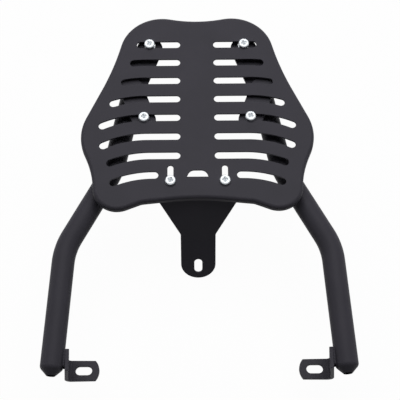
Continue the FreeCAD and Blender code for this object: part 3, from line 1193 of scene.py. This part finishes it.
@dataclass
class FootTabs:
    """The bent tabs on the tubes' ends, with slots for the frame's bolts."""

    spacing: float = 250.0
    slot: tuple[float, float] = (10.0, 18.0)
    width: float = 24.0
    thickness: float = 4.0
    height: float = 42.0
    bend: float = 3.0
    lean: float = math.radians(5.5)
    end_margin: float = 16.8
    end_radius: float = 17.0
    corner_radius: float = 0.8
    edge_radius: float = 0.5

    def upright(self) -> list[Vector]:
        """Finds the right tab's upright in side view from the CAD tab's box.

        Returns:
            The fold and the top of the outer face.
        """
        # The box ends at the bend, which stands a little short of the fold's own corner
        bend_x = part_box("right_foot_tab")[1].x / MM
        fold_x = bend_x + (self.bend + self.thickness) * (math.tan(math.pi / 4 + self.lean / 2) - 1)
        return [Vector((fold_x, 0.0)), Vector((fold_x - self.height * math.tan(self.lean), self.height))]

    def build(self, finishes: Finishes) -> None:
        """Makes both tabs and dresses them.

        Args:
            finishes: The materials.
        """
        end_x = self.spacing / 2 - self.end_margin
        line = FoldLine([Vector((end_x, 0.0)), *self.upright()], self.thickness, self.bend)
        half, soft = self.width / 2, self.corner_radius
        half_turn = math.asin(half / self.end_radius)
        hub = Vector((0.0, self.end_radius))
        free_end = Outline.arc(hub, self.end_radius, -QUARTER - half_turn, 2 * half_turn)
        shape = Outline.joined(
            Outline(free_end.points[1:-1], free_end.outward[1:-1]),
            Outline.arc(Vector((half - soft, line.length - soft)), soft, 0.0, QUARTER),
            Outline.arc(Vector((soft - half, line.length - soft)), soft, QUARTER, QUARTER),
        )
        hole = Outline.lengthwise(self.end_margin, self.slot)
        edge = soft_edge(self.thickness, self.edge_radius)
        for side in Side:
            skin = Skin().sheet(shape, [hole], edge, edge)
            line.fold(skin, Vector((0, 1, 0)), Vector((1, 0, 0)), Vector((0, 0, 1))).mirrored(side)
            skin.coated_piece(f"{side.label}_foot", finishes, f"{side.label}_foot_tab")


@dataclass
class CentreBracket:
    """The folded sheet under the plate's rear edge, with its tapering panel and slotted tongue."""

    thickness: float = 3.0
    width: float = 86.0
    bend: float = 4.0
    flange_front: float = -76.5
    flange_rear: float = -97.5
    panel_slope: float = math.radians(68)
    panel_length: float = 71.0
    tongue_slope: float = math.radians(60)
    tongue_length: float = 52.8
    tongue_width: float = 39.4
    # Where the sides start and stop tapering, from the first fold along the panel
    taper: tuple[float, float] = (12.1, 61.6)
    taper_radius: float = 6.0
    flange_radius: float = 1.5
    # The tongue's two end arcs stop just short of meeting
    tip_share: float = 0.999
    slot: tuple[float, float] = (9.0, 19.4)
    slot_margin: float = 16.8
    screw_hole: float = 6.6
    edge_radius: float = 0.4

    def fold_line(self) -> FoldLine:
        """Gives the bracket's outer face in side view, from the flange's front edge to the tip.

        Returns:
            The line.
        """
        flange = (self.flange_front, self.flange_rear)
        front, fold = (Vector((DECK.y + y, DECK.z - DECK_SHEET)) for y in flange)
        panel, tongue = (-ray(slope) for slope in (self.panel_slope, self.tongue_slope))
        second = fold + panel * self.panel_length
        tip = second + tongue * self.tongue_length
        return FoldLine([front, fold, second, tip], self.thickness, self.bend)

    def build(self, finishes: Finishes) -> None:
        """Makes the bracket and dresses it.

        Args:
            finishes: The materials.
        """
        line = self.fold_line()
        half, slim = self.width / 2, self.tongue_width / 2
        wide_to, slim_from = (line.after(0, distance) for distance in self.taper)
        right = [
            (half, 0.0, self.flange_radius),
            (half, wide_to, self.taper_radius),
            (slim, slim_from, self.taper_radius),
            (slim, line.length, slim * self.tip_share),
        ]
        left = [(-x, y, r) for x, y, r in reversed(right)]
        screw_x, screw_y = REAR_SCREW
        holes = [Outline.lengthwise(line.length - self.slot_margin, self.slot)]
        for side in Side:
            screw = Vector((side.value * screw_x, self.flange_front - screw_y))
            holes.append(Outline.circle(screw, self.screw_hole / 2))
        edge = soft_edge(self.thickness, self.edge_radius)
        skin = Skin().sheet(Outline.rounded([*right, *left]), holes, edge, edge)
        line.fold(skin, Vector((-1, 0, 0)), Vector((0, 1, 0)), Vector((0, 0, 1)))
        skin.coated_piece("tail_bracket", finishes, "centre_bracket")


@dataclass
class Fasteners:
    """The plate's screws with their spacers, washers and nuts."""

    # Heights of the seats under the deck's top: under the front strip, middle strip and flange
    seats: tuple[float, float, float] = (-11.0, -8.0, -5.0)
    # Turn of each screw and of its nut, in degrees, right side first
    turns: tuple[float, ...] = (20.0, 62.0, 8.0, 35.0, 12.0, 71.0)
    head_radius: float = 6.0
    head_height: float = 4.0
    head_round: float = 1.9
    round_facets: int = 6
    head_edge: float = 0.25
    # Span, width and depth of the cross recess, and how far its floor lies inside its mouth
    recess: tuple[float, float, float] = (6.4, 1.25, 1.7)
    recess_taper: float = 0.45
    recess_radii: tuple[float, float] = (0.3, 0.25)
    shank_radius: float = 2.97
    shank_length: float = 20.0
    thread_pitch: float = 1.0
    thread_depth: float = 0.5
    thread_rings: int = 5
    # Lengths over which the thread fades, under the head and at the point, and its least depth
    thread_fades: tuple[float, float] = (2.0, 1.5)
    thread_least: float = 0.2
    ring_points: int = 48
    # Outer radius, bore radius and height of each ring
    washer: tuple[float, float, float] = (6.0, 3.3, 1.6)
    front_spacer: tuple[float, float, float] = (6.0, 3.5, 6.0)
    middle_spacer: tuple[float, float, float] = (5.25, 3.3, 3.0)
    ring_edge: float = 0.25
    front_spacer_shift: float = 0.4
    nut_flats: float = 10.0
    nut_height: float = 5.0
    nut_bore: float = 3.1
    nut_sink: float = 0.5
    nut_chamfer_radius: float = 4.9
    nut_chamfer_slope: float = math.radians(30)
    nut_chamfer_least: float = 0.05
    nut_points: int = 72

    def thread(self, angles: Sequence[float]) -> list[tuple[list[float], float]]:
        """Works out the rolled thread, which fades under the head and ends at the point.

        Args:
            angles: Angle of each point of a ring.

        Returns:
            The points' radii and the depth under the head of each ring.
        """
        levels = int(self.shank_length / self.thread_pitch * self.thread_rings)
        head_fade, point_fade = self.thread_fades
        rings = []
        for level in range(1, levels):
            z = self.shank_length * level / levels
            share = min(1.0, z / head_fade, (self.shank_length - z) / point_fade)
            depth = self.thread_depth * max(share, self.thread_least)
            turns = [z / self.thread_pitch - angle / math.tau for angle in angles]
            rings.append(([self.shank_radius - depth * abs(turn % 1.0 * 2 - 1) for turn in turns], z))
        point = [self.shank_radius - self.thread_depth] * len(angles)
        return [*rings, (point, self.shank_length)]

    def cross(self) -> Outline:
        """Outlines the cross recess.

        Returns:
            The outline of its mouth.
        """
        arm, half = self.recess[0] / 2, self.recess[1] / 2
        tip_r, corner_r = self.recess_radii
        quarter = [(arm, half, tip_r), (half, half, corner_r), (half, arm, tip_r)]
        corners = []
        for turn in range(4):
            spin = Matrix.Rotation(QUARTER * turn, 2)
            corners += [(*(spin @ Vector((x, y))), r) for x, y, r in quarter]
        return Outline.rounded(corners)

    def screw(self) -> Mesh:
        """Makes one pan-head screw with a cross recess and a rolled thread, its seat at Z 0.

        Returns:
            The mesh.
        """
        skin = Skin()
        angles = stepped(0.0, math.tau, self.ring_points)[:-1]
        rays = [ray(angle) for angle in angles]
        top, bend = self.head_height, self.head_round
        flat = self.head_radius - bend
        steps = stepped(0.0, QUARTER, self.round_facets)
        crown = [(flat + bend * math.sin(a), top - bend * (1 - math.cos(a))) for a in steps]
        edge = [(self.head_radius, self.head_edge), (self.head_radius - self.head_edge, 0.0)]
        profile = [*crown, *edge, (self.shank_radius, 0.0)]
        rings = [skin.ring([way * radius for way in rays], z) for radius, z in profile]
        for radii, depth in self.thread(angles):
            rings.append(skin.ring([way * radius for way, radius in zip(rays, radii)], -depth))
        skin.wall(rings)
        skin.cap(rings[-1], up=False)
        shape = self.cross()
        mouth = skin.ring(shape.points, top)
        floor = skin.ring(shape.offset(-self.recess_taper), top - self.recess[2])
        skin.cap(rings[0], [mouth])
        skin.wall([mouth, floor], inwards=True)
        skin.cap(floor)
        return skin.data("pan_head_screw")

    def round_ring(self, name: str, size: tuple[float, float, float]) -> Mesh:
        """Makes a washer or spacer, its top at Z 0.

        Args:
            name: Name of the mesh.
            size: Outer radius, bore radius and height.

        Returns:
            The mesh.
        """
        outer, bore, height = size
        edge = soft_edge(height, self.ring_edge)
        shape, hole = (Outline.circle(Vector((0.0, 0.0)), radius) for radius in (outer, bore))
        return Skin().sheet(shape, [hole], edge, edge).data(name)

    def nut(self) -> Mesh:
        """Makes one hexagon nut with chamfered corners and a countersunk bore, its top at Z 0.

        Returns:
            The mesh.
        """
        skin = Skin()
        sixth = math.pi / 3
        angles = stepped(0.0, math.tau, self.nut_points)[:-1]
        rays = [ray(angle) for angle in angles]
        off_flats = [(angle + sixth / 2) % sixth - sixth / 2 for angle in angles]
        flats = [self.nut_flats / 2 / math.cos(off_flat) for off_flat in off_flats]
        edges = [min(flat, self.nut_chamfer_radius) for flat in flats]
        slope, least = math.tan(self.nut_chamfer_slope), self.nut_chamfer_least
        fall = [(flat - edge) * slope + least for flat, edge in zip(flats, edges)]
        outer, inner = ([way * r for way, r in zip(rays, radii)] for radii in (flats, edges))
        low, sink = self.nut_height, self.nut_sink
        mouth, bore = ([way * (self.nut_bore + wide) for way in rays] for wide in (sink, 0.0))
        stack = [
            skin.ring(inner, 0.0),
            skin.ring(outer, [-f for f in fall]),
            skin.ring(outer, [f - low for f in fall]),
            skin.ring(inner, -low),
            skin.ring(mouth, -low),
            skin.ring(bore, sink - low),
            skin.ring(bore, -sink),
            skin.ring(mouth, 0.0),
        ]
        skin.wall([*stack, stack[0]])
        return skin.data("hexagon_nut")

    @staticmethod
    def places(spots: Sequence[tuple[float, float, float]]) -> list[Vector]:
        """Gives places in the part's frame for right-hand places on the deck, right side first."""
        return [side.place(Vector(spot)) + DECK for side in Side for spot in spots]

    def build(self, finishes: Finishes) -> None:
        """Sets every fastener in place with one tree and dresses them.

        Args:
            finishes: The materials.
        """
        placer = fastener_placer()
        turns = [math.radians(turn) for turn in self.turns]
        screws = (FRONT_SCREW, MIDDLE_SCREW, REAR_SCREW)
        heads = [(*screw, 0.0) for screw in screws]
        washers = [(*screw, seat) for screw, seat in zip(screws, self.seats)]
        nuts = [(x, y, seat - self.washer[2]) for x, y, seat in washers]
        front = [(FRONT_SCREW[0] - self.front_spacer_shift, FRONT_SCREW[1], -DECK_SHEET)]
        middle = [(*MIDDLE_SCREW, -DECK_SHEET)]
        ring = self.round_ring
        sets = (
            ("cross_head_screws", "plate_screws", self.screw(), heads),
            ("plain_washers", "plate_washers", ring("plain_washer", self.washer), washers),
            ("hexagon_nuts", "plate_nuts", self.nut(), nuts),
            ("front_sleeves", "front_spacers", ring("front_sleeve", self.front_spacer), front),
            ("middle_sleeves", "middle_spacers", ring("middle_sleeve", self.middle_spacer), middle),
        )
        for name, node, mesh, spots in sets:
            points = self.places(spots)
            pattern = bpy.data.objects.new(f"{name}_pattern", mesh)
            base = point_mesh(f"{name}_places", points, joined=False, turn=turns[: len(points)])
            piece = placer.run(name, base, {"Fastener": pattern, "Material": finishes[Slot.PLATED]})
            bpy.data.objects.remove(pattern)
            dressed(piece, finishes, Slot.PLATED, node)


@dataclass
class Welds:
    """The fillet welds, under the coat, that hold the strips and tabs to the tubes."""

    pitch: float = 1.5
    half_width: float = 2.1
    least_size: tuple[float, float, float] = (0.9, 0.9, 0.7)
    most_size: tuple[float, float, float] = (1.05, 1.05, 0.9)
    subdivisions: int = 3
    # The strip welds: how far they lie under the strip, their distance from the tube's middle as a
    # share of its radius, and their ends from the tube's front
    strip_sink: float = 1.5
    strip_out: float = 0.52
    strip_ends: tuple[float, float] = (3.0, 26.0)
    # Y of the foot welds' ends, and their heights over the tube's axis
    foot_ends: tuple[float, float] = (11.0, -5.0)
    foot_upper: float = 3.4
    foot_lower: float = -5.5

    def strip_seam(self, tubes: BentTubes, out: float) -> list[Vector]:
        """Gives a line in the wedge between a strip's underside and the tube's shoulder.

        Args:
            tubes: The tubes.
            out: Signed distance of the line from the tube's middle, inwards.

        Returns:
            Its two ends.
        """
        front, bend = tubes.corners()[:2]
        run = (bend - front).normalized()
        side = Vector((-run.y, run.x, 0.0)) * out
        # The strip lies on the tube's top
        rise = Vector((0.0, 0.0, tubes.radius - self.strip_sink))
        return [front + run * end + rise + side for end in self.strip_ends]

    def foot_seam(self, tubes: BentTubes, tabs: FootTabs, rise: float) -> list[Vector]:
        """Gives the line midway between a tab's upright and the side of its tube.

        Args:
            tubes: The tubes.
            tabs: The tabs.
            rise: Height of the line over the tube's axis.

        Returns:
            Its two ends.
        """
        knee, tip = tubes.corners()[2:]
        fold, top = tabs.upright()
        ends = []
        for y in self.foot_ends:
            axis = knee + (tip - knee) * ((y - knee.y) / (tip.y - knee.y))
            z = axis.z + rise
            face = fold.x + (top.x - fold.x) * z / top.y
            side = axis.x - math.sqrt(tubes.radius**2 - rise**2)
            ends.append(Vector(((face + side) / 2, y, z)))
        return ends

    def build(self, finishes: Finishes, tubes: BentTubes, tabs: FootTabs) -> None:
        """Lays every weld and dresses it.

        Args:
            finishes: The materials.
            tubes: The tubes that the welds follow.
            tabs: The tabs that are welded to them.
        """
        layer = weld_layer()
        out = tubes.radius * self.strip_out
        seams = {
            "inner_strip_weld": self.strip_seam(tubes, out),
            "outer_strip_weld": self.strip_seam(tubes, -out),
            "foot_upper_weld": self.foot_seam(tubes, tabs, self.foot_upper),
            "foot_lower_weld": self.foot_seam(tubes, tabs, self.foot_lower),
        }
        values = {
            "Pitch": self.pitch * MM,
            "Half width": self.half_width * MM,
            "Least size": self.least_size,
            "Most size": self.most_size,
            "Subdivisions": self.subdivisions,
            "Material": finishes[Slot.COATED],
        }
        for side in Side:
            for seed, (name, ends) in enumerate(seams.items()):
                label = f"{side.label}_{name}"
                path = point_mesh(f"{label}_path", [side.place(end) for end in ends], joined=True)
                piece = layer.run(label, path, {**values, "Seed": seed})
                dressed(piece, finishes, Slot.COATED)


@dataclass(frozen=True)
class Softbox:
    """A rectangular soft lamp: its place and sides in mm, and its power in watts."""

    name: str
    place: tuple[float, float, float]
    sides: tuple[float, float]
    power: float

    def hang(self, target: Vector) -> None:
        """Makes the lamp and turns it to a place.

        Args:
            target: The place that it looks at, in mm.
        """
        data = bpy.data.lights.new(self.name, "AREA")
        data.shape = "RECTANGLE"
        data.size, data.size_y = (side * MM for side in self.sides)
        data.energy = self.power
        lamp = linked(self.name, data)
        lamp.location = Vector(self.place) * MM
        lamp.rotation_euler = (target - Vector(self.place)).to_track_quat("-Z", "Y").to_euler()


@dataclass
class Studio:
    """Pale floor, soft light from above, fill from the sides, and the camera of the photograph."""

    # The photograph's camera: what it looks at, from where, and its lens
    target: tuple[float, float, float] = (2.2, 167.2, 80.0)
    elevation: float = math.radians(63.9)
    yaw: float = math.radians(0.5)
    distance: float = 1353.2
    lens: float = 112.1
    sensor: float = 36.0
    clip_end: float = 50000.0
    floor_drop: float = 2.0
    floor_size: float = 9000.0
    floor_colour: str = "#8C8C8C"
    # How much of the floor's white paper is seen over the shaded one, and how bright it is
    white_share: float = 0.88
    white_level: float = 1.1
    # Strength of the faint light from all round
    surround: float = 0.02
    lamps: tuple[Softbox, ...] = (
        Softbox("overhead_softbox", (60.0, 1100.0, 2360.0), (2700.0, 2000.0), 47.0),
        Softbox("front_fill", (0.0, 2000.0, 420.0), (2400.0, 800.0), 9.0),
        Softbox("right_fill", (1700.0, 500.0, 420.0), (1400.0, 800.0), 2.5),
        Softbox("left_fill", (-1700.0, 500.0, 420.0), (1400.0, 800.0), 2.5),
    )

    def camera(self) -> None:
        """Sets the camera at the photograph's angle."""
        data = bpy.data.cameras.new("photo_camera")
        data.sensor_width = self.sensor
        data.lens = self.lens
        data.clip_end = self.clip_end * MM
        camera = linked("photo_camera", data)
        level = math.cos(self.elevation)
        way = Vector((math.sin(self.yaw) * level, math.cos(self.yaw) * level, -math.sin(self.elevation)))
        camera.location = (Vector(self.target) - way * self.distance) * MM
        camera.rotation_euler = way.to_track_quat("-Z", "Y").to_euler()
        bpy.context.scene.camera = camera

    @staticmethod
    def white_rays(tree: NodeTree) -> NodeSocket:
        """Finds the rays that see a white studio: the camera's, and those off metal or through glass.

        Args:
            tree: The tree of the floor's material or of the world.

        Returns:
            1 for such a ray, and 0 for the rays that carry light to the object.
        """
        rays = add_node(tree, "ShaderNodeLightPath").outputs
        seen = rays["Is Camera Ray"]
        for kind in ("Is Glossy Ray", "Is Transmission Ray"):
            either = {0: seen, 1: rays[kind]}
            seen = add_node(tree, "ShaderNodeMath", either, operation="MAXIMUM").outputs[0]
        return seen

    def floor(self) -> None:
        """Lays the pale floor just under the lowest piece and hands it to the stage."""
        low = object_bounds()[0][2] / MM - self.floor_drop
        half = self.floor_size / 2
        corners = ((-half, -half), (half, -half), (half, half), (-half, half))
        skin = Skin()
        skin.cap(skin.ring([Vector(corner) for corner in corners], low))
        floor = linked("studio_floor", skin.data("studio_floor"))
        material, tree, output = new_material("pale_studio_paper")
        shaded = add_node(tree, "ShaderNodeBsdfDiffuse", {"Color": linear(self.floor_colour)})
        white = add_node(tree, "ShaderNodeEmission", {"Color": WHITE, "Strength": self.white_level})
        seen = {0: self.white_rays(tree), 1: self.white_share}
        share = add_node(tree, "ShaderNodeMath", seen, operation="MULTIPLY").outputs[0]
        papers = {0: share, 1: shaded.outputs["BSDF"], 2: white.outputs["Emission"]}
        mixed = add_node(tree, "ShaderNodeMixShader", papers)
        tree.links.new(mixed.outputs["Shader"], output.inputs["Surface"])
        floor.data.materials.append(material)
        floor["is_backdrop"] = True

    def light(self) -> None:
        """Hangs the lamps and sets the faint light all round, which looks white."""
        for lamp in self.lamps:
            lamp.hang(Vector(self.target))
        world = bpy.data.worlds.new("studio_surround")
        world.use_nodes = True
        tree = world.node_tree
        tree.nodes.clear()
        dim, white = (
            add_node(tree, "ShaderNodeBackground", {"Color": WHITE, "Strength": strength})
            for strength in (self.surround, 1.0)
        )
        skies = {0: self.white_rays(tree), 1: dim.outputs["Background"], 2: white.outputs["Background"]}
        mixed = add_node(tree, "ShaderNodeMixShader", skies)
        add_node(tree, "ShaderNodeOutputWorld", {"Surface": mixed.outputs["Shader"]})
        bpy.context.scene.world = world
        bpy.context.scene.view_settings.view_transform = "Standard"

    def build(self) -> None:
        """Sets up the floor, the light and the camera."""
        self.floor()
        self.light()
        self.camera()


def main() -> None:
    """Builds the dressed bracket in its studio."""
    logging.basicConfig(level=logging.INFO, format="%(name)s: %(message)s")
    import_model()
    finishes = {Slot.COATED: POWDER_COAT.build(), Slot.PLATED: ZINC_PLATE.build()}
    tubes, tabs = BentTubes(), FootTabs()
    for assembly in (TopPlate(), Strips(), tubes, tabs, CentreBracket(), Fasteners()):
        assembly.build(finishes)
    Welds().build(finishes, tubes, tabs)
    Studio().build()
    LOG.info("CAD box and visual box written")


if __name__ == "__main__":
    main()
